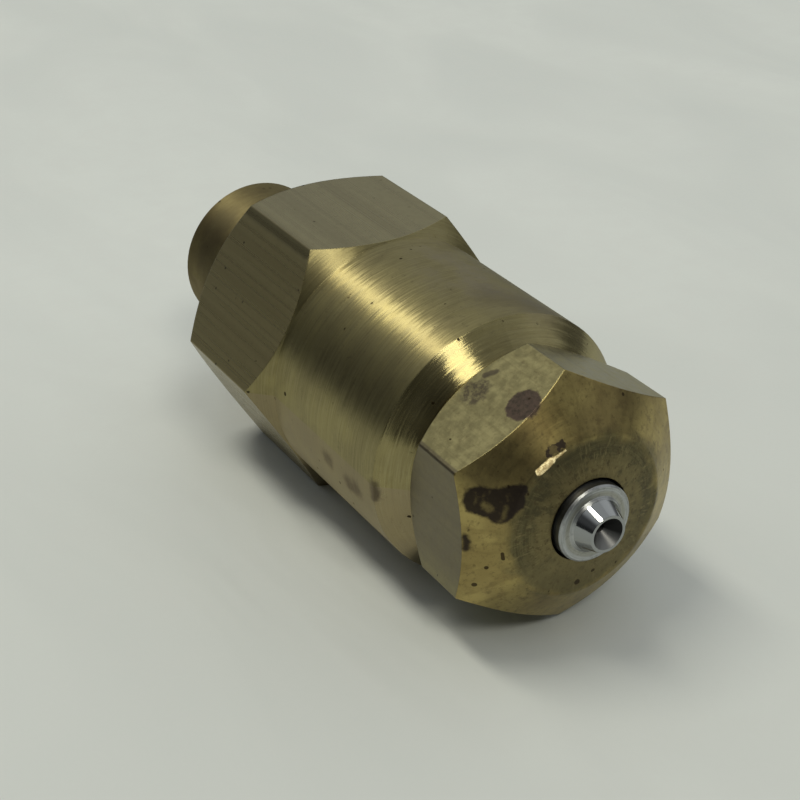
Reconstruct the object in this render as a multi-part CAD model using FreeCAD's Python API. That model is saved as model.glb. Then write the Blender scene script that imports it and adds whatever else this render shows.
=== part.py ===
"""Oil burner nozzle: a brass holder with an anti-drip valve, and a screw-in spray head with a strainer.

Millimetres. +X is the nozzle's axis, from the fuel inlet to the spray tip, and +Z is up.
The origin is the centre of the inlet end. The nozzle lies on one flat of the holder's hexagon.
"""
import FreeCAD, Part
import math
import os

os.makedirs("parts", exist_ok=True)

# Bar sizes, which set the outside of the holder and of the head
holder_flats = 19.05
head_flats = 15.875
edge_break = 0.12
head_corner_deg = 31.6

# Holder, outside
boss_r = 6.06
boss_edge = 0.3
hex_back_x = 10.0
hex_back_face_r = 9.45
hex_front_x = 20.5
barrel_r = 9.43
barrel_front_x = 35.6
nose_x = 37.3
nose_r = 7.6

# Holder, inside
inlet_r = 4.3
inlet_mouth_r = 5.0
inlet_mouth_depth = 0.4
inlet_depth = 8.0
drill_tip = 1.3
feed_r = 2.0
bay_x = 11.0
bay_r = 4.6
clip_groove_x = 20.3
clip_groove_width = 0.75
clip_groove_r = 5.0
chamber_x = 21.5
chamber_r = 5.6
seat_x = 29.6
head_bore_r = 7.2
head_bore_lead = 0.35
head_bore_mouth_r = 7.5

# Anti-drip valve
seat_ring_length = 2.6
seat_hole_r = 1.5
seat_flare = 0.8
groove_inner_r = 3.0
groove_outer_r = 4.2
groove_depth = 0.8
ball_r = 2.381
ball_gap = 0.02
spring_mean_r = 1.5
spring_wire_r = 0.175
spring_turns = 4
retainer_x = 19.4
retainer_thick = 0.9
post_r = 1.15
post_length = 0.9
port_r = 0.65
port_circle_r = 3.0
port_count = 6
clip_inner_r = 4.15
clip_outer_r = 4.9
clip_thick = 0.6
clip_gap_deg = 50
lug_r = 0.75
lug_inset = 0.4
lug_set_back = 0.45
lug_hole_r = 0.3

# Spray head, outside
head_back_x = 37.55
head_back_r = 7.8
head_cone_x = 42.8
head_front_x = 45.22
head_front_r = 5.62
face_round = 0.5
lip_x = 45.68
lip_r = 2.85

# Spray head, shank and bore
thread_pitch = 25.4 / 24
thread_crest_r = 7.1
thread_depth = 0.613 * thread_pitch
crest_flat = thread_pitch / 8
root_flat = thread_pitch / 8
undercut_x = 36.55
undercut_r = 6.35
shank_end_x = 31.0
shank_seat_gap = 0.06
cap_bore_r = 4.4
cap_bore_end_x = 42.6

# Orifice insert
flange_back_x = 40.6
flange_r = 4.35
neck_r = 2.667
neck_edge = 0.12
rim_x = 46.31
nipple_base_r = 1.75
nipple_foot = 0.2
tip_x = 47.6
tip_r = 1.28
orifice_r = 0.3
cone_mouth_r = 2.75
cone_half_deg = 26
countersink_x = 46.75
countersink_r = 1.08

# Swirl core and the screw that holds it
core_back_x = 37.8
core_back_r = 3.0
core_tip_r = 0.9
core_rim = 0.4
slot_width = 0.4
slot_depth = 0.35
slot_offset = 0.55
slot_count = 4
screw_back_x = 33.6
screw_nose_x = 36.4
screw_nose_r = 3.3
socket_flats = 3.0
socket_depth = 2.0
screw_hole_r = 0.9
cross_hole_r = 0.55

# Strainer
ferrule_x = 29.95
ferrule_flange = 0.8
ferrule_flange_r = 5.2
ferrule_plug_x = 33.2
ferrule_hole_r = 1.6
gasket_thick = 0.25
core_tube_r = 3.1
core_tube_hole_r = 2.4
core_tube_x = 22.6
core_slot_width = 1.1
core_slot_length = 4.6
core_slot_count = 6
screen_x = 23.1
screen_inner_r = 3.55
screen_outer_r = 3.8
mesh_around = 20
mesh_along = 10
mesh_hole = 0.42
collar_r = 4.1
collar_length = 0.9
end_cap_x = 22.0
end_cap_r = 4.1
end_cap_wall = 0.6
end_cap_edge = 0.3
end_spigot_length = 1.4
end_slot_width = 0.7
end_slot_depth = 0.3

clear = 0.5
V = FreeCAD.Vector
CENTRE = V(0, 0, 0)
AXIS = V(1, 0, 0)


def turned(outline):
    """A turned solid from (x, r) corners."""
    points = [V(x, 0, r) for x, r in outline]
    face = Part.Face(Part.makePolygon(points + points[:1]))
    return face.revolve(CENTRE, AXIS, 360)


def rod(x0, x1, r):
    """A plain round from x0 to x1."""
    return Part.makeCylinder(r, x1 - x0, V(x0, 0, 0), AXIS)


def tube(x0, x1, outer_r, inner_r):
    """A plain tube from x0 to x1."""
    return turned([(x0, inner_r), (x0, outer_r), (x1, outer_r), (x1, inner_r)])


def hex_bar(x0, x1, flats, corner_deg, edge_r=0):
    """A six-sided bar; corner_deg is the first corner's angle from +Y towards +Z."""
    corner_r = flats / math.sqrt(3)
    angles = [math.radians(corner_deg + 60 * i) for i in range(6)]
    points = [V(x0, corner_r * math.cos(a), corner_r * math.sin(a)) for a in angles]
    bar = Part.Face(Part.makePolygon(points + points[:1])).extrude(V(x1 - x0, 0, 0))
    if edge_r:
        bar = bar.makeFillet(edge_r, [e for e in bar.Edges if e.BoundBox.XLength > (x1 - x0) / 2])
    return bar


def spun(shape, degrees):
    """A copy turned about the nozzle's axis."""
    copy = shape.copy()
    copy.rotate(CENTRE, AXIS, degrees)
    return copy


def around(shape, count):
    """Evenly spaced copies about the nozzle's axis."""
    return [spun(shape, 360 * i / count) for i in range(count)]


def box(x0, x1, y0, y1, z0, z1):
    """A block between two corners."""
    return Part.makeBox(x1 - x0, y1 - y0, z1 - z0, V(x0, y0, z0))


def save(shape, name):
    """Write one node's STEP file."""
    shape.exportStep("parts/" + name + ".step")


def holder_body():
    """Hexagon, barrel and inlet boss in one turned bar, bored from both ends."""
    corner_r = holder_flats / math.sqrt(3)
    corner_back_x = hex_back_x + corner_r - hex_back_face_r
    shoulder_x = hex_front_x + corner_r - barrel_r
    shape = turned(
        [
            (0, 0),
            (0, boss_r - boss_edge),
            (boss_edge, boss_r),
            (hex_back_x, boss_r),
            (hex_back_x, hex_back_face_r),
            (corner_back_x, corner_r),
            (hex_front_x, corner_r),
            (shoulder_x, barrel_r),
            (barrel_front_x, barrel_r),
            (nose_x, nose_r),
            (nose_x, 0),
        ]
    )
    trim = hex_bar(hex_back_x, shoulder_x, holder_flats, 0, edge_break)
    trim = trim.fuse(rod(-clear, hex_back_x, corner_r))
    trim = trim.fuse(rod(shoulder_x, nose_x + clear, corner_r))
    shape = shape.common(trim).removeSplitter()
    bore = turned(
        [
            (-clear, 0),
            (-clear, inlet_mouth_r),
            (0, inlet_mouth_r),
            (inlet_mouth_depth, inlet_r),
            (inlet_depth, inlet_r),
            (inlet_depth + drill_tip, feed_r),
            (bay_x, feed_r),
            (bay_x, bay_r),
            (clip_groove_x, bay_r),
            (clip_groove_x, clip_groove_r),
            (clip_groove_x + clip_groove_width, clip_groove_r),
            (clip_groove_x + clip_groove_width, bay_r),
            (chamber_x, bay_r),
            (chamber_x, chamber_r),
            (seat_x, chamber_r),
            (seat_x + head_bore_r - chamber_r, head_bore_r),
            (nose_x - head_bore_lead, head_bore_r),
            (nose_x, head_bore_mouth_r),
            (nose_x + clear, head_bore_mouth_r),
            (nose_x + clear, 0),
        ]
    )
    return shape.cut(bore)


def valve_seat():
    """Seat ring of the anti-drip valve, with a flared mouth and a groove for its O-ring."""
    front_x = bay_x + seat_ring_length
    return turned(
        [
            (bay_x, seat_hole_r),
            (bay_x, groove_inner_r),
            (bay_x + groove_depth, groove_inner_r),
            (bay_x + groove_depth, groove_outer_r),
            (bay_x, groove_outer_r),
            (bay_x, bay_r),
            (front_x, bay_r),
            (front_x, seat_hole_r + seat_flare),
            (front_x - seat_flare, seat_hole_r),
        ]
    )


def seat_o_ring():
    """O-ring in the groove behind the seat ring."""
    mean_r = (groove_inner_r + groove_outer_r) / 2
    return Part.makeTorus(mean_r, groove_depth / 2, V(bay_x + groove_depth / 2, 0, 0), AXIS)


def ball_centre_x():
    """Where the ball's centre lies when it rests in the seat's flare."""
    flare_apex_x = bay_x + seat_ring_length - seat_flare - seat_hole_r
    return flare_apex_x + (ball_r + ball_gap) * math.sqrt(2)


def check_ball():
    """The valve's ball."""
    return Part.makeSphere(ball_r, V(ball_centre_x(), 0, 0))


def check_spring():
    """Coil spring from the ball to the retainer."""
    wire_centre_r = ball_r + spring_wire_r + ball_gap
    start_x = ball_centre_x() + math.sqrt(wire_centre_r**2 - spring_mean_r**2)
    length = retainer_x - spring_wire_r - start_x
    helix = Part.makeHelix(length / spring_turns, length, spring_mean_r)
    section = Part.Wire(Part.makeCircle(spring_wire_r, V(spring_mean_r, 0, 0), V(0, 1, 0)))
    spring = Part.Wire(helix.Edges).makePipeShell([section], True, True)
    spring.rotate(CENTRE, V(0, 1, 0), 90)
    spring.translate(V(start_x, 0, 0))
    return spring


def spring_retainer():
    """Drilled plate that carries the spring on a short post."""
    plate = rod(retainer_x, retainer_x + retainer_thick, bay_r)
    post = rod(retainer_x - post_length, retainer_x, post_r)
    port = Part.makeCylinder(
        port_r, retainer_thick + 2 * clear, V(retainer_x - clear, port_circle_r, 0), AXIS
    )
    return plate.fuse(post).cut(around(port, port_count))


def retaining_ring():
    """Internal snap ring with an eye at each end."""
    x0 = clip_groove_x
    x1 = clip_groove_x + clip_thick
    ring = tube(x0, x1, clip_outer_r, clip_inner_r)
    gap = Part.makeCylinder(
        clip_outer_r + clear, clip_thick + 2 * clear, V(x0 - clear, 0, 0), AXIS, clip_gap_deg
    )
    ring = ring.cut(gap)
    first_deg = math.degrees(math.atan2(gap.CenterOfMass.z, gap.CenterOfMass.y)) - clip_gap_deg / 2
    lug_circle_r = clip_inner_r - lug_inset
    lug_step_deg = math.degrees(lug_set_back / lug_circle_r)
    for angle in (first_deg - lug_step_deg, first_deg + clip_gap_deg + lug_step_deg):
        y = lug_circle_r * math.cos(math.radians(angle))
        z = lug_circle_r * math.sin(math.radians(angle))
        lug = Part.makeCylinder(lug_r, clip_thick, V(x0, y, z), AXIS)
        eye = Part.makeCylinder(lug_hole_r, clip_thick + 2 * clear, V(x0 - clear, y, z), AXIS)
        ring = ring.fuse(lug).cut(eye)
    return ring.removeSplitter()


def thread_outline(start_x, end_x):
    """Corners of the thread's section, crest to root to crest, between two places on the shank."""
    flank = (thread_pitch - crest_flat - root_flat) / 2
    root_r = thread_crest_r - thread_depth
    corners = []
    for i in range(int((end_x - start_x) / thread_pitch)):
        groove_x = start_x + i * thread_pitch + crest_flat
        corners.append((groove_x, thread_crest_r))
        corners.append((groove_x + flank, root_r))
        corners.append((groove_x + flank + root_flat, root_r))
        corners.append((groove_x + 2 * flank + root_flat, thread_crest_r))
    return corners


def nozzle_cap():
    """Hexagon head with a coned face and a screwed shank, bored from the back."""
    corner_r = head_flats / math.sqrt(3)
    shank_tip_r = shank_end_x - seat_x + chamber_r - shank_seat_gap * math.sqrt(2)
    shank_lead_x = shank_end_x + thread_crest_r - shank_tip_r
    head = turned(
        [
            (head_back_x, 0),
            (head_back_x, head_back_r),
            (head_back_x + corner_r - head_back_r, corner_r),
            (head_cone_x, corner_r),
            (head_front_x, head_front_r),
            (lip_x, lip_r),
            (lip_x, 0),
        ]
    )
    front_edges = [
        e
        for e in head.Edges
        if abs(e.CenterOfMass.x - head_front_x) < edge_break / 2
        and abs(e.BoundBox.YMax - head_front_r) < edge_break
    ]
    head = head.makeFillet(face_round, front_edges)
    head = head.common(hex_bar(head_back_x, lip_x, head_flats, head_corner_deg, edge_break))
    shank = turned(
        [
            (shank_end_x, 0),
            (shank_end_x, shank_tip_r),
            (shank_lead_x, thread_crest_r),
        ]
        + thread_outline(shank_lead_x, undercut_x)
        + [
            (undercut_x, thread_crest_r),
            (undercut_x, undercut_r),
            (head_back_x, undercut_r),
            (head_back_x, 0),
        ]
    )
    bore = turned(
        [
            (shank_end_x - clear, 0),
            (shank_end_x - clear, cap_bore_r),
            (cap_bore_end_x, cap_bore_r),
            (cap_bore_end_x, lip_r),
            (lip_x + clear, lip_r),
            (lip_x + clear, 0),
        ]
    )
    return head.fuse(shank).removeSplitter().cut(bore)


def orifice_insert():
    """Stainless insert: a flange, a neck through the cap and a small nipple with the spray hole."""
    cone_end_x = flange_back_x + (cone_mouth_r - orifice_r) / math.tan(math.radians(cone_half_deg))
    return turned(
        [
            (flange_back_x, cone_mouth_r),
            (flange_back_x, flange_r),
            (cap_bore_end_x, flange_r),
            (cap_bore_end_x, neck_r),
            (rim_x - neck_edge, neck_r),
            (rim_x, neck_r - neck_edge),
            (rim_x, nipple_base_r + nipple_foot),
            (rim_x + nipple_foot, nipple_base_r),
            (tip_x, tip_r),
            (tip_x, countersink_r),
            (countersink_x, orifice_r),
            (cone_end_x, orifice_r),
        ]
    )


def swirl_core():
    """Cone that fits the insert, with slots to one side of the axis that make the oil spin."""
    slope = math.tan(math.radians(cone_half_deg))
    core_tip_x = flange_back_x + (cone_mouth_r - core_tip_r) / slope
    core = turned(
        [
            (core_back_x, 0),
            (core_back_x, core_back_r),
            (flange_back_x - core_rim, core_back_r),
            (flange_back_x - core_rim, cone_mouth_r),
            (flange_back_x, cone_mouth_r),
            (core_tip_x, core_tip_r),
            (core_tip_x, 0),
        ]
    )
    length = core_tip_x - flange_back_x
    slot = box(
        -clear,
        2 * length,
        slot_offset - slot_width / 2,
        slot_offset + slot_width / 2,
        -slot_depth,
        core_back_r,
    )
    slot.rotate(CENTRE, V(0, 1, 0), cone_half_deg)
    slot.translate(V(flange_back_x, 0, cone_mouth_r))
    return core.cut(around(slot, slot_count))


def lock_screw():
    """Hollow screw with a hexagon socket and cross holes, which holds the core in the insert."""
    screw = turned(
        [
            (screw_back_x, 0),
            (screw_back_x, cap_bore_r),
            (screw_nose_x, cap_bore_r),
            (screw_nose_x, screw_nose_r),
            (core_back_x, screw_nose_r),
            (core_back_x, 0),
        ]
    )
    screw = screw.cut(hex_bar(screw_back_x - clear, screw_back_x + socket_depth, socket_flats, 0))
    cross_x = (screw_nose_x + core_back_x) / 2
    screw = screw.cut(rod(screw_back_x, cross_x, screw_hole_r))
    for angle in (0, 90):
        hole = Part.makeCylinder(cross_hole_r, 2 * cap_bore_r, V(cross_x, 0, -cap_bore_r), V(0, 0, 1))
        screw = screw.cut(spun(hole, angle))
    return screw


def strainer_ferrule():
    """Flanged plug that screws into the back of the cap and carries the strainer."""
    flange_front_x = ferrule_x + ferrule_flange
    return turned(
        [
            (ferrule_x, core_tube_r),
            (ferrule_x, ferrule_flange_r),
            (flange_front_x, ferrule_flange_r),
            (flange_front_x, cap_bore_r),
            (ferrule_plug_x, cap_bore_r),
            (ferrule_plug_x, ferrule_hole_r),
            (flange_front_x, ferrule_hole_r),
            (flange_front_x, core_tube_r),
        ]
    )


def strainer_gasket():
    """Flat washer between the ferrule's flange and the end of the cap's shank."""
    x0 = shank_end_x - gasket_thick
    return tube(x0, shank_end_x, ferrule_flange_r, cap_bore_r)


def strainer_core():
    """Slotted tube that holds the screen open against the oil's pressure."""
    end_x = ferrule_x + ferrule_flange
    core = tube(core_tube_x, end_x, core_tube_r, core_tube_hole_r)
    middle_x = (core_tube_x + ferrule_x) / 2
    slot = box(
        middle_x - core_slot_length / 2,
        middle_x + core_slot_length / 2,
        -core_slot_width / 2,
        core_slot_width / 2,
        core_tube_hole_r / 2,
        core_tube_r + clear,
    )
    return core.cut(around(slot, core_slot_count))


def strainer_screen():
    """Wire gauze sleeve, with one square opening for each mesh."""
    sleeve = tube(screen_x, ferrule_x, screen_outer_r, screen_inner_r)
    first_x = screen_x + collar_length
    step = (ferrule_x - collar_length - first_x) / mesh_along
    openings = []
    for row in range(mesh_along):
        x = first_x + step * (row + 0.5)
        half = mesh_hole / 2
        opening = box(
            x - half, x + half, -half, half, screen_inner_r - clear, screen_outer_r + clear
        )
        openings += around(opening, mesh_around)
    return sleeve.cut(openings)


def screen_collars():
    """The two bands crimped round the ends of the screen."""
    back = tube(screen_x, screen_x + collar_length, collar_r, screen_outer_r)
    front = tube(ferrule_x - collar_length, ferrule_x, collar_r, screen_outer_r)
    return Part.makeCompound([back, front])


def strainer_end_cap():
    """Plug in the far end of the strainer, with a screwdriver slot."""
    face_x = end_cap_x + end_cap_wall
    cap = turned(
        [
            (end_cap_x, 0),
            (end_cap_x, end_cap_r - end_cap_edge),
            (end_cap_x + end_cap_edge, end_cap_r),
            (face_x, end_cap_r),
            (face_x, core_tube_hole_r),
            (face_x + end_spigot_length, core_tube_hole_r),
            (face_x + end_spigot_length, 0),
        ]
    )
    slot = box(
        end_cap_x - clear,
        end_cap_x + end_slot_depth,
        -end_cap_r,
        end_cap_r,
        -end_slot_width / 2,
        end_slot_width / 2,
    )
    return cap.cut(slot)


NODES = (
    holder_body,
    valve_seat,
    seat_o_ring,
    check_ball,
    check_spring,
    spring_retainer,
    retaining_ring,
    nozzle_cap,
    orifice_insert,
    swirl_core,
    lock_screw,
    strainer_ferrule,
    strainer_gasket,
    strainer_core,
    strainer_screen,
    screen_collars,
    strainer_end_cap,
)

for make in NODES:
    shape = make()
    state = "valid" if shape.isValid() else "NOT VALID"
    print(make.__name__, "solids", len(shape.Solids), "volume", round(shape.Volume, 2), state)
    save(shape, make.__name__)
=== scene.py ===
"""Oil burner nozzle: looks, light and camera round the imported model.

Metres, in the row frame: +X is the nozzle's axis from inlet to spray tip, +Z is up. The materials work in
millimetres of the same frame at rest and ride with their pieces, so every mark stays in its place.
"""

import math

import bpy
from mathutils import Matrix, Vector


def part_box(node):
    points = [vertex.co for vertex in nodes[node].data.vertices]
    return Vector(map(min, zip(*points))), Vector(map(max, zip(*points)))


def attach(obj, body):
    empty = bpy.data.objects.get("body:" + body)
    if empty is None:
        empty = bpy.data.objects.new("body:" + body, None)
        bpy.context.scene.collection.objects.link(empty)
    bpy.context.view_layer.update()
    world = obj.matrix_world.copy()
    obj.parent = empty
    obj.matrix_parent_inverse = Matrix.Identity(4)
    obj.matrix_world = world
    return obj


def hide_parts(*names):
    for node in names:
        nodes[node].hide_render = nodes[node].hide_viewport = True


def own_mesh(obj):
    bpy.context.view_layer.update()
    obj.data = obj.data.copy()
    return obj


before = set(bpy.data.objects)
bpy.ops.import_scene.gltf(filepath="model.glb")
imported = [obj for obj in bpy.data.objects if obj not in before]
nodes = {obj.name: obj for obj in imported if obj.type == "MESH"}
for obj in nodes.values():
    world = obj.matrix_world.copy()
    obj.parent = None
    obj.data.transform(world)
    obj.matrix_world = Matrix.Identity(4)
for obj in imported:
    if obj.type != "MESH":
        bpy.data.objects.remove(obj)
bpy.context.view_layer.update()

MM = 0.001
TABLE_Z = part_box("holder_body")[0].z

# Places along the nozzle's axis, in millimetres
HEX_BACK_X, SHOULDER_X = 10.0, 22.07
BARREL_FRONT_X = 35.6
HEAD_BACK_X, HEAD_FRONT_X = 37.55, 45.22
NIPPLE_X = 46.3
BALL_RING_X = 12.9

# Radii there, in millimetres
HEAD_FRONT_R = 5.62
INSERT_R = 2.6
NIPPLE_BACK_R = 1.75

# How far a painted glint's own normal, aimed at a lamp, outweighs the skin's
GLINT_WEIGHT = 6.0


# ---------------------------------------------------------------- shader helpers


class Nodes:
    """Builds one material's node tree. Numbers and sockets can be mixed freely."""

    def __init__(self, name):
        self.material = bpy.data.materials.new(name)
        self.material.use_nodes = True
        self.tree = self.material.node_tree
        self.bsdf = self.tree.nodes["Principled BSDF"]
        coords = self.tree.nodes.new("ShaderNodeTexCoord")
        self.mm = self.vector("SCALE", coords.outputs["Object"], scale=1000.0)
        self.normal = coords.outputs["Normal"]
        self.x, self.y, self.z = self.split(self.mm)
        self.r = self.math("SQRT", self.add(self.mul(self.y, self.y), self.mul(self.z, self.z)))
        self.angle = self.mul(self.math("ARCTAN2", self.z, self.y), 180 / math.pi)
        self.facing_x, self.facing_y, self.facing_z = self.split(self.normal)

    def put(self, value, socket):
        """Link a socket, or write a constant."""
        if isinstance(value, bpy.types.NodeSocket):
            self.tree.links.new(value, socket)
        elif socket.type == "RGBA" and len(value) == 3:
            socket.default_value = (*value, 1.0)
        else:
            socket.default_value = value

    def math(self, operation, a, b=None):
        node = self.tree.nodes.new("ShaderNodeMath")
        node.operation = operation
        for value, socket in zip((a, b), node.inputs):
            if value is not None:
                self.put(value, socket)
        return node.outputs[0]

    def add(self, a, b):
        return self.math("ADD", a, b)

    def sub(self, a, b):
        return self.math("SUBTRACT", a, b)

    def mul(self, a, b):
        return self.math("MULTIPLY", a, b)

    def most(self, *values):
        """The largest of several masks."""
        result = values[0]
        for value in values[1:]:
            result = self.math("MAXIMUM", result, value)
        return result

    def opposite(self, a):
        return self.math("SUBTRACT", 1.0, a)

    def vector(self, operation, a, b=None, scale=None):
        node = self.tree.nodes.new("ShaderNodeVectorMath")
        node.operation = operation
        self.put(a, node.inputs[0])
        if b is not None:
            self.put(b, node.inputs[1])
        if scale is not None:
            self.put(scale, node.inputs["Scale"])
        gives_number = operation in ("LENGTH", "DOT_PRODUCT")
        return node.outputs["Value" if gives_number else "Vector"]

    def split(self, vector):
        node = self.tree.nodes.new("ShaderNodeSeparateXYZ")
        self.tree.links.new(vector, node.inputs[0])
        return node.outputs[0], node.outputs[1], node.outputs[2]

    def joined(self, x, y, z):
        node = self.tree.nodes.new("ShaderNodeCombineXYZ")
        for value, socket in zip((x, y, z), node.inputs):
            self.put(value, socket)
        return node.outputs[0]

    def ramp(self, value, low, high, to_low=0.0, to_high=1.0):
        """A smooth step from to_low, at low, to to_high, at high."""
        node = self.tree.nodes.new("ShaderNodeMapRange")
        node.interpolation_type = "SMOOTHSTEP"
        for v, socket in zip((value, low, high, to_low, to_high), node.inputs):
            self.put(v, socket)
        return node.outputs[0]

    def band(self, value, low, high, soft):
        """1 between low and high, falling to 0 over soft outside them."""
        return self.mul(self.ramp(value, low - soft, low), self.ramp(value, high, high + soft, 1.0, 0.0))

    def noise(self, vector, scale, detail=3.0, rough=0.55, distortion=0.0, colour=False):
        node = self.tree.nodes.new("ShaderNodeTexNoise")
        names = ("Vector", "Scale", "Detail", "Roughness", "Distortion")
        for name, value in zip(names, (vector, scale, detail, rough, distortion)):
            self.put(value, node.inputs[name])
        return node.outputs["Color" if colour else "Fac"]

    def cells(self, vector, scale):
        """Distance to the nearest of the scattered points."""
        node = self.tree.nodes.new("ShaderNodeTexVoronoi")
        self.put(vector, node.inputs["Vector"])
        self.put(scale, node.inputs["Scale"])
        return node.outputs["Distance"]

    def mix(self, share, a, b):
        """A colour between a and b."""
        node = self.tree.nodes.new("ShaderNodeMix")
        node.data_type = "RGBA"
        self.put(share, node.inputs[0])
        self.put(a, node.inputs[6])
        self.put(b, node.inputs[7])
        return node.outputs[2]

    def blend(self, share, a, b):
        """A number between a and b."""
        node = self.tree.nodes.new("ShaderNodeMix")
        node.data_type = "FLOAT"
        self.put(share, node.inputs[0])
        self.put(a, node.inputs[2])
        self.put(b, node.inputs[3])
        return node.outputs[0]

    def ragged(self, wobble, grain):
        """The place on the skin, pushed about a little, so that stains get ragged rims."""
        wander = self.noise(self.mm, grain, detail=5.0, rough=0.65, colour=True)
        push = self.vector("SUBTRACT", wander, (0.5,) * 3)
        return self.vector("ADD", self.mm, self.vector("SCALE", push, scale=wobble * 4))

    def blot(self, centre, size, wobble=0.25, grain=1.2, edge=0.12):
        """A stain round a point: 1 inside, 0 outside. Size is one radius, or three."""
        if not isinstance(size, (tuple, list)):
            size = (size,) * 3
        away = self.vector("DIVIDE", self.vector("SUBTRACT", self.ragged(wobble, grain), centre), tuple(size))
        return self.ramp(self.vector("LENGTH", away), 1.0 - edge, 1.0 + edge, 1.0, 0.0)

    def smear(self, start, end, radius, wobble=0.12, grain=1.4, edge=0.15):
        """A stain along the line from start to end."""
        line = Vector(end) - Vector(start)
        away = self.vector("SUBTRACT", self.ragged(wobble, grain), start)
        share = self.mul(self.vector("DOT_PRODUCT", away, tuple(line)), 1 / line.length_squared)
        share = self.math("MINIMUM", self.math("MAXIMUM", share, 0.0), 1.0)
        nearest = self.vector("SCALE", tuple(line), scale=share)
        gap = self.vector("LENGTH", self.vector("SUBTRACT", away, nearest))
        return self.ramp(gap, radius * (1.0 - edge), radius * (1.0 + edge), 1.0, 0.0)

    def bump(self, height, strength, distance, under=None):
        node = self.tree.nodes.new("ShaderNodeBump")
        self.put(height, node.inputs["Height"])
        self.put(strength, node.inputs["Strength"])
        self.put(distance, node.inputs["Distance"])
        if under is not None:
            self.put(under, node.inputs["Normal"])
        return node.outputs[0]

    def done(self, **sockets):
        """Fill the shader's sockets and give the material."""
        for name, value in sockets.items():
            self.put(value, self.bsdf.inputs[name.replace("_", " ")])
        return self.material


def give(node_name, material):
    """Put a material on a CAD node's slots."""
    for slot in nodes[node_name].material_slots:
        slot.material = material


# ---------------------------------------------------------------- brass


class Brass(Nodes):
    """Worked brass: tool marks round the axis on turned skin, die lines along it on the hexagon's flats."""

    def __init__(self, name, flat_from_x, flat_to_x):
        super().__init__(name)
        r = self.math("MAXIMUM", self.r, 0.01)
        self.cos = self.math("DIVIDE", self.y, r)
        self.sin = self.math("DIVIDE", self.z, r)
        self.outline = self.sub(self.x, self.r)
        self.upright = self.ramp(self.math("ABSOLUTE", self.facing_x), 0.1, 0.3, 1.0, 0.0)
        self.flat = self.mul(self.band(self.x, flat_from_x, flat_to_x, 0.02), self.upright)
        self.marks = self.noise(self.turned(6.0, 3.2), 1.0, detail=4.0, rough=0.65)
        self.hairs = self.noise(self.turned(26.0, 2.2), 1.0, detail=2.0)
        self.lines = self.noise(self.drawn(3.4, 0.015), 1.0, detail=3.0, rough=0.5)
        self.cloud = self.noise(self.mm, 0.32, detail=5.0, rough=0.6)
        self.mottle = self.noise(self.mm, 1.6, detail=4.0, rough=0.6)
        self.grime = self.noise(self.mm, 3.0, detail=6.0, rough=0.7)
        self.outward = self.add(self.mul(self.facing_y, self.cos), self.mul(self.facing_z, self.sin))

    def turned(self, fine, round_axis):
        """Coordinates in which a noise is drawn out round the axis."""
        return self.joined(
            self.mul(self.outline, fine), self.mul(self.cos, round_axis), self.mul(self.sin, round_axis)
        )

    def drawn(self, fine, along):
        """Coordinates in which a noise is drawn out along the axis."""
        return self.joined(self.mul(self.x, along), self.mul(self.y, fine), self.mul(self.z, fine))

    def specks(self, scale, size, seed):
        """Small scattered pits. The seed picks where they lie."""
        shifted = self.vector("ADD", self.mm, (seed, 2.0 * seed, 3.0 * seed))
        warp = self.vector("SCALE", self.noise(self.mm, 3.0, colour=True), scale=0.25)
        warped = self.vector("ADD", shifted, warp)
        near = self.ramp(self.cells(warped, scale), size * 0.6, size, 1.0, 0.0)
        return self.mul(near, self.ramp(self.noise(shifted, 0.5, detail=2.0), 0.5, 0.62))

    def grain(self, swing, rounding, glint_patch=None, glint_way=None):
        """The normal: rounded edges, marks that lean round the axis, and a patch turned its own way, which
        aims a painted glint at a lamp.
        """
        edge = self.tree.nodes.new("ShaderNodeBevel")
        edge.samples = 6
        self.put(rounding * MM, edge.inputs["Radius"])
        around = self.joined(0.0, self.mul(self.sin, -1.0), self.cos)
        lean = self.add(self.sub(self.marks, 0.5), self.mul(self.sub(self.hairs, 0.5), 0.6))
        lean = self.mul(self.mul(lean, self.opposite(self.flat)), self.mul(swing, 2.0))
        tilt = self.to_world(self.vector("SCALE", around, scale=lean))
        normal = self.vector("ADD", edge.outputs[0], tilt)
        # Painted glint: the patch's normal is turned the given way, halfway between the camera and a lamp.
        if glint_patch is not None:
            glint_normal = self.vector("SCALE", self.to_world(glint_way), scale=self.mul(glint_patch, GLINT_WEIGHT))
            normal = self.vector("ADD", normal, glint_normal)
        normal = self.vector("NORMALIZE", normal)
        height = self.add(self.mul(self.mul(self.lines, self.flat), 0.25), self.mul(self.mottle, 0.4))
        return self.bump(height, 0.4, 0.012 * MM, under=normal)

    def to_world(self, vector):
        node = self.tree.nodes.new("ShaderNodeVectorTransform")
        node.vector_type = "VECTOR"
        node.convert_from, node.convert_to = "OBJECT", "WORLD"
        self.put(vector, node.inputs[0])
        return node.outputs[0]

    def sheen_way(self):
        """The way that gloss spreads, across the marks: along the outline if turned, across it on flats."""
        back = self.mul(self.facing_x, -1.0)
        along = self.joined(self.outward, self.mul(back, self.cos), self.mul(back, self.sin))
        across = self.vector("CROSS_PRODUCT", (1.0, 0.0, 0.0), self.normal)
        node = self.tree.nodes.new("ShaderNodeMix")
        node.data_type = "VECTOR"
        self.put(self.flat, node.inputs[0])
        self.put(along, node.inputs[4])
        self.put(across, node.inputs[5])
        return self.to_world(node.outputs[1])


def holder_gold(n):
    """The holder's turned skin, pinker low on its side."""
    gold = n.mix(n.ramp(n.cloud, 0.36, 0.66), (0.25, 0.212, 0.098), (0.325, 0.278, 0.122))
    gold = n.mix(n.ramp(n.marks, 0.35, 0.7, 0.0, 0.55), gold, (0.42, 0.37, 0.19))
    gold = n.mix(n.ramp(n.hairs, 0.5, 0.72, 0.0, 0.4), gold, (0.16, 0.13, 0.065))
    low = n.band(n.angle, -180.0, -120.0, 20.0)
    return n.mix(n.mul(low, 0.5), gold, (0.33, 0.265, 0.175))


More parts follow.
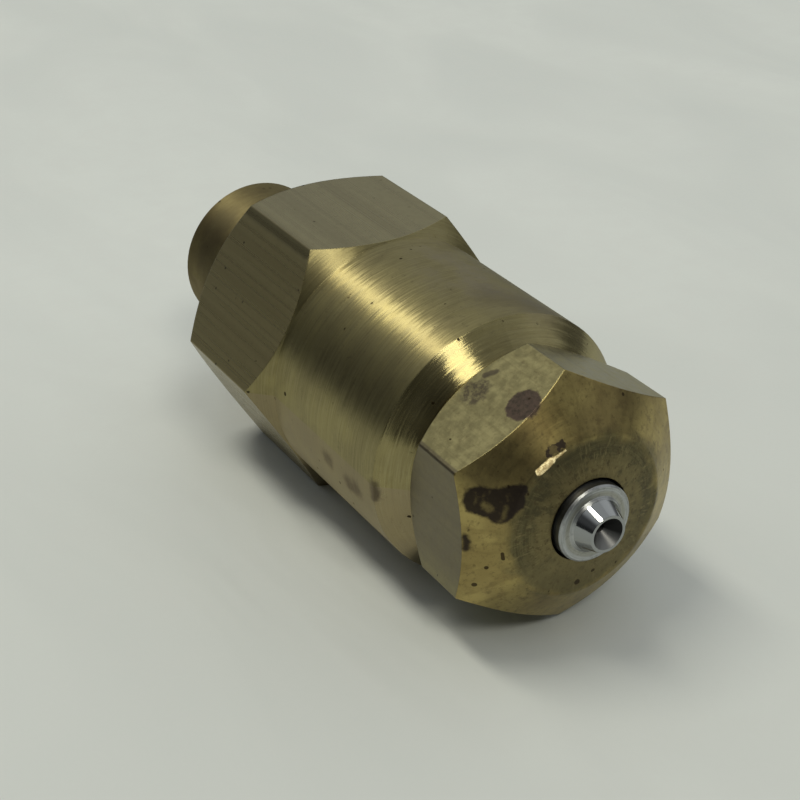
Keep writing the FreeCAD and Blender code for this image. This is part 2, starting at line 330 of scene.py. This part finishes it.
def holder_olive(n):
    """The hexagon's flats: olive, with die lines and broad darker bands, painted shade on the left flat, and
    a painted dark line along one upper corner.
    """
    bands = n.noise(n.drawn(0.8, 0.008), 1.0, detail=4.0, rough=0.5)
    olive = n.mix(n.ramp(n.lines, 0.25, 0.78), (0.295, 0.257, 0.132), (0.345, 0.306, 0.165))
    olive = n.mix(n.ramp(bands, 0.42, 0.66, 0.0, 0.42), olive, (0.205, 0.172, 0.088))
    olive = n.mix(n.ramp(n.mottle, 0.35, 0.7, 0.0, 0.3), olive, (0.25, 0.215, 0.11))
    # Painted shade: the left flat is darkened, as it mirrors the dark left side of the room.
    shaded_left_face = n.ramp(n.y, -4.5, -6.5)
    olive = n.mix(n.mul(shaded_left_face, 0.55), olive, (0.20, 0.158, 0.065))
    # Painted shade: a dark line along the upper left corner, where the rounded edge faces the dark side of
    # the room.
    painted_edge_shade = n.smear((10.0, -5.75, 9.25), (20.3, -5.75, 9.25), 0.42, wobble=0.05, edge=0.5)
    return n.mix(n.mul(painted_edge_shade, 0.6), olive, (0.10, 0.085, 0.04))


def holder_tarnish(n, colour, boss):
    """The boss's dull collar and its smudge, a grey film on top of the barrel, a dull patch, and dirt."""
    colour = n.mix(n.mul(boss, n.ramp(n.cloud, 0.4, 0.6, 0.5, 0.95)), colour, (0.19, 0.155, 0.078))
    smudge = n.smear((2.8, -3.9, 4.6), (3.4, -5.9, 1.6), 1.5, wobble=0.35, edge=0.45)
    colour = n.mix(n.mul(smudge, 0.3), colour, (0.10, 0.085, 0.062))
    film = n.blot((29.0, 3.5, 9.0), (6.5, 4.2, 3.0), wobble=0.9, edge=0.45)
    film = n.mul(film, n.ramp(n.cloud, 0.4, 0.6))
    colour = n.mix(n.mul(film, 0.4), colour, (0.23, 0.20, 0.175))
    dulled = n.smear((32.6, 1.6, 9.3), (34.8, 3.6, 8.7), 1.5, wobble=0.5, edge=0.7)
    colour = n.mix(n.mul(dulled, 0.4), colour, (0.14, 0.115, 0.075))
    return n.mix(n.ramp(n.grime, 0.56, 0.72, 0.0, 0.35), colour, (0.11, 0.088, 0.05))


def holder_brass():
    """The holder: brushed gold turning, olive flats, and its marks."""
    n = Brass("brass_bar", HEX_BACK_X, SHOULDER_X)
    boss = n.ramp(n.x, HEX_BACK_X - 0.2, HEX_BACK_X, 1.0, 0.0)
    nose = n.ramp(n.x, BARREL_FRONT_X - 0.02, BARREL_FRONT_X + 0.02)
    colour = holder_tarnish(n, n.mix(n.flat, holder_gold(n), holder_olive(n)), boss)
    blots = n.most(
        n.smear((32.2, -9.3, -1.8), (33.2, -9.3, -1.6), 0.6, wobble=0.3, edge=0.7),
        n.blot((29.5, -9.3, -1.2), 0.55, wobble=0.3, edge=0.8),
        n.smear((35.6, -9.4, 0.1), (35.6, -9.35, -0.9), 0.4, wobble=0.2, edge=0.6),
    )
    colour = n.mix(n.mul(blots, 0.45), colour, (0.13, 0.10, 0.09))
    pits = n.most(n.specks(0.9, 0.13, 3.0), n.blot((23.6, -9.4, 0.9), 0.16, wobble=0.02))
    colour = n.mix(n.mul(pits, 0.85), colour, (0.03, 0.02, 0.012))
    rough = n.blend(boss, n.ramp(n.marks, 0.3, 0.7, 0.36, 0.45), 0.82)
    rough = n.blend(nose, rough, n.ramp(n.marks, 0.3, 0.7, 0.20, 0.27))
    rough = n.blend(n.flat, rough, n.ramp(n.lines, 0.3, 0.7, 0.26, 0.31))
    rough = n.blend(n.most(blots, pits), rough, 0.6)
    return n.done(
        Base_Color=colour,
        Metallic=1.0,
        Roughness=rough,
        Anisotropic=0.95,
        Tangent=n.sheen_way(),
        Normal=n.grain(0.085, 0.1),
    )


def head_gold(n):
    """The head's cone and thread: orange brass with rays of tarnish down the cone."""
    rays = n.joined(n.mul(n.outline, 0.5), n.mul(n.cos, 13.0), n.mul(n.sin, 13.0))
    streaks = n.noise(rays, 1.0, detail=4.0)
    gold = n.mix(n.ramp(n.cloud, 0.36, 0.66), (0.31, 0.24, 0.093), (0.44, 0.35, 0.132))
    gold = n.mix(n.ramp(streaks, 0.45, 0.72, 0.0, 0.55), gold, (0.22, 0.165, 0.065))
    return n.mix(n.ramp(n.mottle, 0.55, 0.72, 0.0, 0.6), gold, (0.18, 0.135, 0.06))


def head_khaki(n):
    """The head's flats: khaki and mottled, with faint die lines, and painted shade on the left one, which
    mirrors the shadowed table beside it.
    """
    khaki = n.mix(n.ramp(n.mottle, 0.35, 0.68), (0.255, 0.225, 0.108), (0.34, 0.305, 0.15))
    khaki = n.mix(n.ramp(n.lines, 0.42, 0.7, 0.0, 0.4), khaki, (0.20, 0.17, 0.08))
    # Painted shade: the left flat is darkened, as it mirrors the shadowed table beside the nozzle.
    shaded_left_face = n.ramp(n.y, -7.75, -7.88)
    return n.mix(n.mul(shaded_left_face, 0.65), khaki, (0.115, 0.095, 0.07))


def front_patina(n, rings, ragged_r):
    """The face round the insert: brown in the middle, darker further out, with rings and radial scuffs."""
    patina = n.mix(n.ramp(ragged_r, 3.4, 5.0), (0.185, 0.150, 0.070), (0.098, 0.085, 0.043))
    patina = n.mix(n.ramp(rings, 0.38, 0.66, 0.0, 0.55), patina, (0.215, 0.185, 0.088))
    patina = n.mix(n.ramp(n.mottle, 0.5, 0.66, 0.0, 0.5), patina, (0.060, 0.055, 0.035))
    spokes = n.joined(n.mul(n.r, 1.1), n.mul(n.cos, 22.0), n.mul(n.sin, 22.0))
    scuffs = n.noise(spokes, 1.0, detail=5.0, rough=0.7)
    patina = n.mix(n.ramp(scuffs, 0.50, 0.70, 0.0, 0.75), patina, (0.27, 0.225, 0.105))
    patina = n.mix(n.ramp(n.grime, 0.50, 0.66, 0.0, 0.6), patina, (0.065, 0.052, 0.030))
    low = n.ramp(n.z, -1.0, -3.0)
    patina = n.mix(n.mul(low, n.ramp(n.cloud, 0.35, 0.6, 0.25, 0.6)), patina, (0.24, 0.20, 0.095))
    deep = n.smear((45.4, -1.2, 4.9), (45.4, -4.4, 2.4), 1.2, wobble=0.3, edge=0.7)
    return n.mix(n.mul(deep, 0.4), patina, (0.055, 0.048, 0.028))


def head_dirt(n, colour):
    """Dirt in the pores, a brown area and an area of painted shade on the cone, a mottled spot on one flat,
    and a painted dark line along one corner.
    """
    dirt = n.mul(n.ramp(n.grime, 0.52, 0.70, 0.0, 0.55), n.opposite(n.mul(n.flat, 0.4)))
    colour = n.mix(dirt, colour, (0.115, 0.085, 0.042))
    cone = n.mul(n.ramp(n.facing_x, 0.5, 0.7), n.ramp(n.facing_x, 0.9, 0.97, 1.0, 0.0))
    brown = n.mul(cone, n.blot((44.2, 2.4, 6.4), (1.6, 3.4, 1.3), wobble=0.9, edge=0.5))
    colour = n.mix(n.mul(brown, 0.4), colour, (0.17, 0.125, 0.058))
    # Painted shade: the cone between the left flat and the small stain is darkened, where it mirrors the dark
    # front of the room.
    shaded = n.mul(cone, n.smear((43.7, -6.6, 4.5), (44.4, -3.9, 5.9), 1.25, wobble=0.3, edge=0.55))
    colour = n.mix(n.mul(shaded, 0.5), colour, (0.12, 0.095, 0.045))
    mottled = n.blot((38.9, -4.0, 6.9), 1.0, wobble=0.2, edge=0.25)
    mottled = n.mul(mottled, n.ramp(n.grime, 0.40, 0.56, 0.3, 1.0))
    mottled = n.most(mottled, n.smear((38.4, -3.0, 7.5), (38.8, -2.5, 7.8), 0.22, wobble=0.1, edge=0.4))
    colour = n.mix(n.mul(mottled, 0.8), colour, (0.085, 0.068, 0.05))
    # Painted shade: a dark line along the edge between the two left flats, where the rounded edge mirrors the
    # dark left side.
    painted_edge_shade = n.smear((37.6, -8.06, 4.36), (42.9, -8.06, 4.36), 0.11, wobble=0.03, edge=0.4)
    return n.mix(n.mul(painted_edge_shade, 0.7), colour, (0.045, 0.036, 0.026))


def burnt_oil(n):
    """A large dark stain on the cone with barer patches in it, and two small stains beside it."""
    burnt = n.most(
        n.smear((44.0, -7.05, 2.75), (44.5, -6.2, 2.5), 0.93, wobble=0.1, grain=2.0),
        n.smear((44.7, -6.0, 1.95), (45.05, -5.2, 2.75), 0.72, wobble=0.1, grain=2.0),
        n.smear((44.5, -6.1, 3.2), (45.1, -4.75, 3.3), 0.42, wobble=0.14, grain=2.0, edge=0.35),
        n.smear((45.0, -2.75, 5.3), (45.02, -1.9, 5.62), 0.27, wobble=0.16, grain=2.6),
        n.smear((43.8, -7.8, 0.3), (43.8, -7.7, -0.5), 0.24, wobble=0.15, edge=0.7),
    )
    bare = n.most(
        n.smear((44.2, -6.75, 2.5), (44.4, -6.5, 2.2), 0.2, wobble=0.14, grain=2.0, edge=0.9),
        n.smear((44.85, -5.6, 2.3), (44.95, -5.85, 1.7), 0.15, wobble=0.1, grain=2.0, edge=0.9),
        n.mul(n.blot((45.0, -2.5, 5.3), 0.3, wobble=0.2, grain=2.6), 0.8),
    )
    return n.mul(burnt, n.opposite(n.mul(n.most(bare, n.ramp(n.mottle, 0.55, 0.8)), 0.45)))


def head_pits(n):
    """Pits, scattered and in a few places of their own."""
    return n.most(
        n.specks(1.15, 0.13, 7.0),
        n.smear((45.0, -5.9, -0.85), (45.0, -5.85, -1.25), 0.12, wobble=0.03),
        n.blot((44.35, -6.6, -2.0), 0.14, wobble=0.03),
        n.blot((43.7, -7.0, -3.5), 0.18, wobble=0.05),
        n.blot((43.8, 3.5, 6.85), 0.12, wobble=0.02),
        n.blot((45.4, -0.4, -4.75), 0.22, wobble=0.06),
        n.blot((45.4, 0.7, -4.2), 0.16, wobble=0.06),
    )


def head_brass():
    """The spray head: orange cone, khaki flats, a brown front face, burnt oil, and a worn scrape with a
    painted glint.
    """
    n = Brass("brass_head", HEAD_BACK_X, HEAD_FRONT_X)
    rings = n.noise(n.turned(5.0, 1.6), 1.0, detail=4.0, rough=0.7)
    worn = n.noise(n.mm, 0.8, detail=4.0)
    ragged_r = n.add(n.r, n.mul(n.sub(worn, 0.5), 2.4))
    front = n.ramp(ragged_r, HEAD_FRONT_R - 0.55, HEAD_FRONT_R + 0.75, 1.0, 0.0)
    front = n.mul(front, n.ramp(n.facing_x, 0.6, 0.75))
    colour = n.mix(n.flat, head_gold(n), head_khaki(n))
    colour = n.mix(front, colour, front_patina(n, rings, ragged_r))
    colour = head_dirt(n, colour)
    oval = n.blot((42.58, -3.05, 7.44), 1.16, wobble=0.11, grain=2.6, edge=0.08)
    scab = n.mix(n.ramp(n.grime, 0.40, 0.62), (0.082, 0.056, 0.050), (0.045, 0.034, 0.032))
    colour = n.mix(n.mul(oval, 0.92), colour, scab)
    burnt = burnt_oil(n)
    colour = n.mix(n.mul(burnt, 0.95), colour, (0.034, 0.026, 0.023))
    pits = head_pits(n)
    colour = n.mix(n.mul(pits, 0.85), colour, (0.035, 0.022, 0.012))
    # A worn flat on the front edge with a painted glint: its colour is brightened and its normal turned
    # halfway between the camera and the front lamp, so that it shines.
    scrape_glint = n.most(
        n.smear((45.2, -3.55, 4.3), (45.28, -2.7, 4.85), 0.24, wobble=0.06, edge=0.2),
        n.smear((45.28, -2.7, 4.9), (45.32, -1.75, 5.25), 0.12, wobble=0.05, edge=0.3),
    )
    scrape_glint = n.mul(scrape_glint, n.opposite(burnt))
    worn_glint_colour = n.mix(n.ramp(n.grime, 0.38, 0.58), (0.68, 0.60, 0.36), (0.30, 0.235, 0.12))
    colour = n.mix(scrape_glint, colour, worn_glint_colour)
    turned = n.ramp(n.marks, 0.3, 0.7, 0.30, 0.38)
    rough = n.blend(n.flat, turned, n.ramp(n.mottle, 0.3, 0.7, 0.30, 0.40))
    rough = n.blend(front, rough, n.ramp(rings, 0.35, 0.65, 0.36, 0.5))
    rough = n.blend(n.most(oval, burnt, pits), rough, 0.5)
    rough = n.blend(scrape_glint, rough, 0.33)
    return n.done(
        Base_Color=colour,
        Metallic=1.0,
        Roughness=rough,
        Anisotropic=0.55,
        Tangent=n.sheen_way(),
        Normal=n.grain(0.045, 0.1, scrape_glint, (0.72, -0.28, 0.63)),
    )


def turned_brass():
    """The small inner pieces, brighter because oil has kept the air off them."""
    n = Brass("brass_turned", 0.0, 0.1)
    colour = n.mix(n.ramp(n.marks, 0.35, 0.68), (0.50, 0.40, 0.17), (0.66, 0.55, 0.27))
    colour = n.mix(n.ramp(n.mottle, 0.58, 0.72, 0.0, 0.5), colour, (0.28, 0.20, 0.09))
    return n.done(
        Base_Color=colour,
        Metallic=1.0,
        Roughness=n.ramp(n.marks, 0.3, 0.7, 0.26, 0.4),
        Anisotropic=0.6,
        Tangent=n.sheen_way(),
        Normal=n.grain(0.03, 0.05),
    )


give("holder_body", holder_brass())
give("nozzle_cap", head_brass())
small_brass = turned_brass()
for node_name in (
    "valve_seat", "spring_retainer", "lock_screw",
    "strainer_ferrule", "strainer_core", "screen_collars", "strainer_end_cap",
):
    give(node_name, small_brass)


# ---------------------------------------------------------------- steel, rubber, gasket and gauze


def turned_steel():
    """Bright stainless: fine rings, a warmer one near the nipple, a painted highlight line down it, painted
    shade on the insert's side wall, and painted light and shade in the bore.
    """
    n = Brass("stainless", 0.0, 0.1)
    rings = n.noise(n.turned(11.0, 0.9), 1.0, detail=4.0, rough=0.7)
    colour = n.mix(n.ramp(rings, 0.32, 0.7), (0.30, 0.31, 0.31), (0.52, 0.53, 0.53))
    inner = n.mul(n.band(n.r, 1.7, 2.2, 0.12), n.ramp(n.facing_x, 0.85, 0.95))
    colour = n.mix(n.mul(inner, 0.5), colour, (0.30, 0.29, 0.22))
    colour = n.mix(n.ramp(n.grime, 0.5, 0.68, 0.0, 0.45), colour, (0.17, 0.17, 0.165))
    # Painted shade: the insert's side wall is darkened, as shadow between the insert and the head's brass.
    side = n.mul(n.ramp(n.r, INSERT_R, INSERT_R + 0.04), n.ramp(n.facing_x, 0.3, 0.6, 1.0, 0.0))
    colour = n.mix(n.mul(side, 0.7), colour, (0.09, 0.09, 0.085))
    nipple = n.ramp(n.r, NIPPLE_BACK_R - 0.03, NIPPLE_BACK_R + 0.05, 1.0, 0.0)
    nipple = n.mul(nipple, n.ramp(n.x, NIPPLE_X - 0.1, NIPPLE_X))
    colour = n.mix(nipple, colour, (0.33, 0.34, 0.34))
    # Painted light and shade in the bore: the lower wall, which faces the ceiling, is light, and the upper
    # wall, which faces the table's shade, is dark.
    painted_bore_shade = n.mix(n.ramp(n.sin, -0.8, -0.2), (0.28, 0.28, 0.275), (0.022, 0.022, 0.022))
    inside = n.ramp(n.outward, -0.3, -0.1, 1.0, 0.0)
    colour = n.mix(inside, colour, painted_bore_shade)
    # Painted highlight: a bright line down the nipple's flank, where the long light shines on a smooth cone,
    # with its normal turned halfway between the camera and the long light.
    painted_highlight_line = n.smear((46.48, -0.74, 1.52), (47.5, -0.58, 1.19), 0.12, wobble=0.01, edge=0.2)
    colour = n.mix(painted_highlight_line, colour, (0.75, 0.76, 0.74))
    rough = n.ramp(rings, 0.3, 0.7, 0.28, 0.44)
    rough = n.blend(nipple, rough, 0.12)
    rough = n.blend(inside, rough, 0.5)
    return n.done(
        Base_Color=colour,
        Metallic=1.0,
        Roughness=rough,
        Anisotropic=0.5,
        Tangent=n.sheen_way(),
        Normal=n.grain(n.blend(nipple, 0.02, 0.0), 0.05, painted_highlight_line, (0.28, -0.43, 0.86)),
    )


def ball_steel():
    """A ground ball, with faint lapping marks and a worn ring where it sits."""
    n = Nodes("steel_ball")
    haze = n.noise(n.mm, 2.2, detail=5.0, rough=0.7)
    colour = n.mix(n.ramp(haze, 0.35, 0.7), (0.50, 0.51, 0.53), (0.63, 0.64, 0.66))
    ring = n.band(n.x, BALL_RING_X, BALL_RING_X + 0.25, 0.08)
    colour = n.mix(n.mul(ring, 0.5), colour, (0.30, 0.29, 0.28))
    return n.done(
        Base_Color=colour, Metallic=1.0, Roughness=n.ramp(haze, 0.3, 0.7, 0.08, 0.2),
        Normal=n.bump(haze, 0.15, 0.004 * MM),
    )


def wire_steel():
    """Drawn spring wire, a little stained."""
    n = Nodes("spring_wire")
    haze = n.noise(n.mm, 4.0, detail=4.0)
    colour = n.mix(n.ramp(haze, 0.4, 0.65), (0.34, 0.34, 0.35), (0.52, 0.52, 0.53))
    colour = n.mix(n.ramp(n.noise(n.mm, 1.3), 0.55, 0.7, 0.0, 0.45), colour, (0.30, 0.23, 0.15))
    return n.done(
        Base_Color=colour, Metallic=1.0, Roughness=n.ramp(haze, 0.3, 0.7, 0.25, 0.42),
        Normal=n.bump(haze, 0.3, 0.006 * MM),
    )


def rubber():
    """Black nitrile with a fine bloom."""
    n = Nodes("rubber_black")
    bloom = n.noise(n.mm, 5.0, detail=5.0, rough=0.7)
    colour = n.mix(n.ramp(bloom, 0.4, 0.75), (0.012, 0.012, 0.013), (0.045, 0.045, 0.046))
    return n.done(
        Base_Color=colour, Roughness=n.ramp(bloom, 0.3, 0.7, 0.42, 0.62), Normal=n.bump(bloom, 0.4, 0.01 * MM)
    )


def gasket():
    """White plastic washer with oil stains."""
    n = Nodes("gasket_white")
    grain = n.noise(n.mm, 3.5, detail=5.0)
    colour = n.mix(n.ramp(grain, 0.35, 0.7), (0.62, 0.60, 0.54), (0.74, 0.73, 0.69))
    colour = n.mix(n.ramp(n.noise(n.mm, 0.8, detail=3.0), 0.5, 0.68, 0.0, 0.6), colour, (0.46, 0.36, 0.20))
    return n.done(Base_Color=colour, Roughness=0.55, Normal=n.bump(grain, 0.4, 0.01 * MM))


def gauze():
    """Bronze wire cloth, with the over-and-under of its wires between the openings."""
    n = Nodes("bronze_gauze")
    along = n.math("SINE", n.mul(n.x, 22.0))
    round_axis = n.math("SINE", n.mul(n.angle, 1.05))
    weave = n.mul(along, round_axis)
    colour = n.mix(n.ramp(weave, -0.8, 0.8), (0.30, 0.17, 0.07), (0.58, 0.38, 0.18))
    colour = n.mix(n.ramp(n.noise(n.mm, 1.0, detail=4.0), 0.5, 0.7, 0.0, 0.6), colour, (0.14, 0.09, 0.05))
    return n.done(
        Base_Color=colour, Metallic=1.0, Roughness=n.ramp(weave, -1.0, 1.0, 0.32, 0.5),
        Normal=n.bump(weave, 0.8, 0.03 * MM),
    )


insert_steel = turned_steel()
for node_name in ("orifice_insert", "swirl_core", "retaining_ring"):
    give(node_name, insert_steel)
give("check_ball", ball_steel())
give("seat_o_ring", rubber())
give("strainer_gasket", gasket())
give("strainer_screen", gauze())


# ---------------------------------------------------------------- the ball's spring

COIL_MEAN_R, WIRE_R = 1.5 * MM, 0.175 * MM
COIL_TURNS, COIL_STEPS, SIDES = 4.0, 160, 14
CLOSED_SHARE = 0.08  # of the coil, at each end


def coil_points(lo, hi):
    """The points of a round wire wound with closed ends between lo and hi, a ring of SIDES for each step."""
    start, end = lo.x + WIRE_R, hi.x - WIRE_R
    points = []
    for i in range(COIL_STEPS + 1):
        share = i / COIL_STEPS
        inner = min(1.0, max(0.0, (share - CLOSED_SHARE) / (1.0 - 2.0 * CLOSED_SHARE)))
        opening = 0.5 - 0.5 * math.cos(math.pi * inner)
        x = start + (end - start) * 0.5 * (share + opening)
        turn = 2 * math.pi * share * COIL_TURNS
        outward = Vector((0, math.cos(turn), math.sin(turn)))
        centre = Vector((x, 0, 0)) + outward * COIL_MEAN_R
        for k in range(SIDES):
            b = 2 * math.pi * k / SIDES
            points.append(centre + (outward * math.cos(b) + Vector((1, 0, 0)) * math.sin(b)) * WIRE_R)
    return points


def coil_faces():
    """Quads between the rings, and an end cap at each end."""
    faces = []
    for i in range(COIL_STEPS):
        for k in range(SIDES):
            here, beside = i * SIDES + k, i * SIDES + (k + 1) % SIDES
            faces.append((here, beside, beside + SIDES, here + SIDES))
    faces.append(tuple(range(SIDES - 1, -1, -1)))
    faces.append(tuple(range(COIL_STEPS * SIDES, (COIL_STEPS + 1) * SIDES)))
    return faces


def coil_spring():
    """A coil of round wire with closed ends, where the CAD model has its plain coil."""
    lo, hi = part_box("check_spring")
    mesh = bpy.data.meshes.new("check_spring_coil")
    mesh.from_pydata([tuple(p) for p in coil_points(lo, hi)], [], coil_faces())
    mesh.validate()
    for polygon in mesh.polygons:
        polygon.use_smooth = len(polygon.vertices) == 4
    mesh.materials.append(wire_steel())
    coil = bpy.data.objects.new("check_spring_coil", mesh)
    bpy.context.scene.collection.objects.link(coil)
    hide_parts("check_spring")
    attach(coil, "holder")
    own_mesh(coil)


coil_spring()


# ---------------------------------------------------------------- table


def table():
    """A pale grey sheet with faint soft folds, their light and shade also painted into its colour, and
    painted shade darkening it towards the front.
    """
    half, middle_x, cells = 0.9, 0.02, 180
    mesh = bpy.data.meshes.new("table_top")
    step = 2 * half / cells
    row = cells + 1
    points = [(middle_x - half + i * step, -half + j * step, TABLE_Z) for j in range(row) for i in range(row)]
    first_corners = [j * row + i for j in range(cells) for i in range(cells)]
    mesh.from_pydata(points, [], [(c, c + 1, c + row + 1, c + row) for c in first_corners])
    floor = bpy.data.objects.new("table_top", mesh)
    bpy.context.scene.collection.objects.link(floor)
    n = Nodes("table_paper")
    stretched = n.vector("MULTIPLY", n.mm, (0.024, 0.05, 0.03))
    folds = n.noise(stretched, 1.0, detail=3.0, rough=0.5, distortion=0.6)
    tooth = n.noise(n.mm, 2.2, detail=3.0)
    fibre = n.noise(n.mm, 0.35, detail=3.0)
    # Painted light and shade: the colour follows the same folds as the bump.
    colour = n.mix(n.ramp(folds, 0.3, 0.7), (0.635, 0.67, 0.655), (0.69, 0.725, 0.705))
    colour = n.mix(n.ramp(fibre, 0.35, 0.7, 0.0, 0.35), colour, (0.655, 0.68, 0.665))
    # Painted shade: darker towards the front (+X), away from the long light.
    colour = n.mix(n.ramp(n.x, -30.0, 90.0, 0.0, 0.5), colour, (0.575, 0.60, 0.585))
    mesh.materials.append(
        n.done(
            Base_Color=colour,
            Roughness=n.ramp(tooth, 0.3, 0.7, 0.6, 0.75),
            Normal=n.bump(tooth, 0.12, 0.02 * MM, under=n.bump(folds, 0.6, 1.6 * MM)),
        )
    )


table()


# ---------------------------------------------------------------- light

# In metres. The lights' places are measured from here, and they face it
NOZZLE_MIDDLE = Vector((0.025, 0, 0))

# Brightness of the ceiling. For each wall, its axis and side, then its brightness high up and low down
CEILING = 0.54
WALLS = (
    ("y", 1.0, 0.72, 0.15),
    ("y", -1.0, 0.09, 0.03),
    ("x", 1.0, 0.02, 0.16),
    ("x", -1.0, 0.52, 0.10),
)


def soft_box(name, place, size, radiance, colour):
    """A rectangular light that faces the nozzle's middle from place. Its first size is along the nozzle."""
    data = bpy.data.lights.new(name, "AREA")
    data.shape = "RECTANGLE"
    data.size, data.size_y = size
    data.energy = math.pi * radiance * size[0] * size[1]
    data.color = colour
    light = bpy.data.objects.new(name, data)
    away = Vector(place).normalized()
    side = Vector((0, 1, 0)).cross(away).normalized()
    turn = Matrix((side, away.cross(side), away)).transposed()
    light.matrix_world = Matrix.Translation(NOZZLE_MIDDLE + Vector(place)) @ turn.to_4x4()
    bpy.context.scene.collection.objects.link(light)


def room():
    """A pale ceiling, with walls bright on the right and behind the nozzle, dim on the left and in front."""
    world = bpy.data.worlds.new("room")
    bpy.context.scene.world = world
    world.use_nodes = True
    tree = world.node_tree

    def put(value, socket):
        if isinstance(value, bpy.types.NodeSocket):
            tree.links.new(value, socket)
        else:
            socket.default_value = value

    def math_node(operation, a, b):
        made = tree.nodes.new("ShaderNodeMath")
        made.operation = operation
        put(a, made.inputs[0])
        put(b, made.inputs[1])
        return made.outputs[0]

    def step(value, low, high, to_low, to_high):
        made = tree.nodes.new("ShaderNodeMapRange")
        made.interpolation_type = "SMOOTHSTEP"
        for v, socket in zip((value, low, high, to_low, to_high), made.inputs):
            put(v, socket)
        return made.outputs[0]

    coords = tree.nodes.new("ShaderNodeTexCoord")
    way = tree.nodes.new("ShaderNodeSeparateXYZ")
    tree.links.new(coords.outputs["Generated"], way.inputs[0])
    x, y, z = way.outputs
    level = math_node("ADD", math_node("MULTIPLY", x, x), math_node("MULTIPLY", y, y))
    level = math_node("MAXIMUM", level, 0.0001)
    floor_share = step(z, 0.15, 0.45, 1.0, 0.0)
    ceiling_share = step(z, 0.62, 0.90, 0.0, 1.0)
    wall_share = math_node("SUBTRACT", math_node("SUBTRACT", 1.0, floor_share), ceiling_share)
    total = math_node("MULTIPLY", ceiling_share, CEILING)
    for axis, sign, upper, lower in WALLS:
        toward = math_node("MAXIMUM", math_node("MULTIPLY", {"x": x, "y": y}[axis], sign), 0.0)
        share = math_node("DIVIDE", math_node("MULTIPLY", toward, toward), level)
        near_floor = math_node("MULTIPLY", floor_share, lower)
        glow = math_node("ADD", math_node("MULTIPLY", wall_share, upper), near_floor)
        total = math_node("ADD", total, math_node("MULTIPLY", share, glow))
    background = tree.nodes["Background"]
    background.inputs["Color"].default_value = (0.965, 1.0, 1.01, 1.0)
    tree.links.new(total, background.inputs["Strength"])


soft_box("long_light", (-0.31, -0.28, 1.0), (0.62, 0.18), 12.0, (1.0, 0.955, 0.80))
soft_box("front_light", (0.63, -0.10, 0.77), (0.22, 0.28), 10.0, (1.0, 0.965, 0.83))
room()


# ---------------------------------------------------------------- camera

# The photograph's place, in millimetres, with its aim, roll and lens
CAMERA_PLACE = Vector((112.38, -53.14, 56.65))
CAMERA_AIM = Vector((-0.7463, 0.4445, -0.4955))
CAMERA_ROLL = math.radians(-0.285)
LENS_MM, SENSOR_MM = 74.73, 36.0


def camera():
    """Stands in front of the tip, to one side, about 30 degrees up."""
    data = bpy.data.cameras.new("camera")
    data.lens = LENS_MM
    data.sensor_width = SENSOR_MM
    data.clip_start, data.clip_end = 0.005, 5.0
    cam = bpy.data.objects.new("camera", data)
    forward = CAMERA_AIM.normalized()
    level = forward.cross(Vector((0, 0, 1))).normalized()
    right = math.cos(CAMERA_ROLL) * level + math.sin(CAMERA_ROLL) * level.cross(forward)
    up = right.cross(forward)
    turn = Matrix((right, up, -forward)).transposed()
    cam.matrix_world = Matrix.Translation(CAMERA_PLACE * MM) @ turn.to_4x4()
    bpy.context.scene.collection.objects.link(cam)
    bpy.context.scene.camera = cam


camera()
bpy.context.scene.view_settings.view_transform = "Standard"
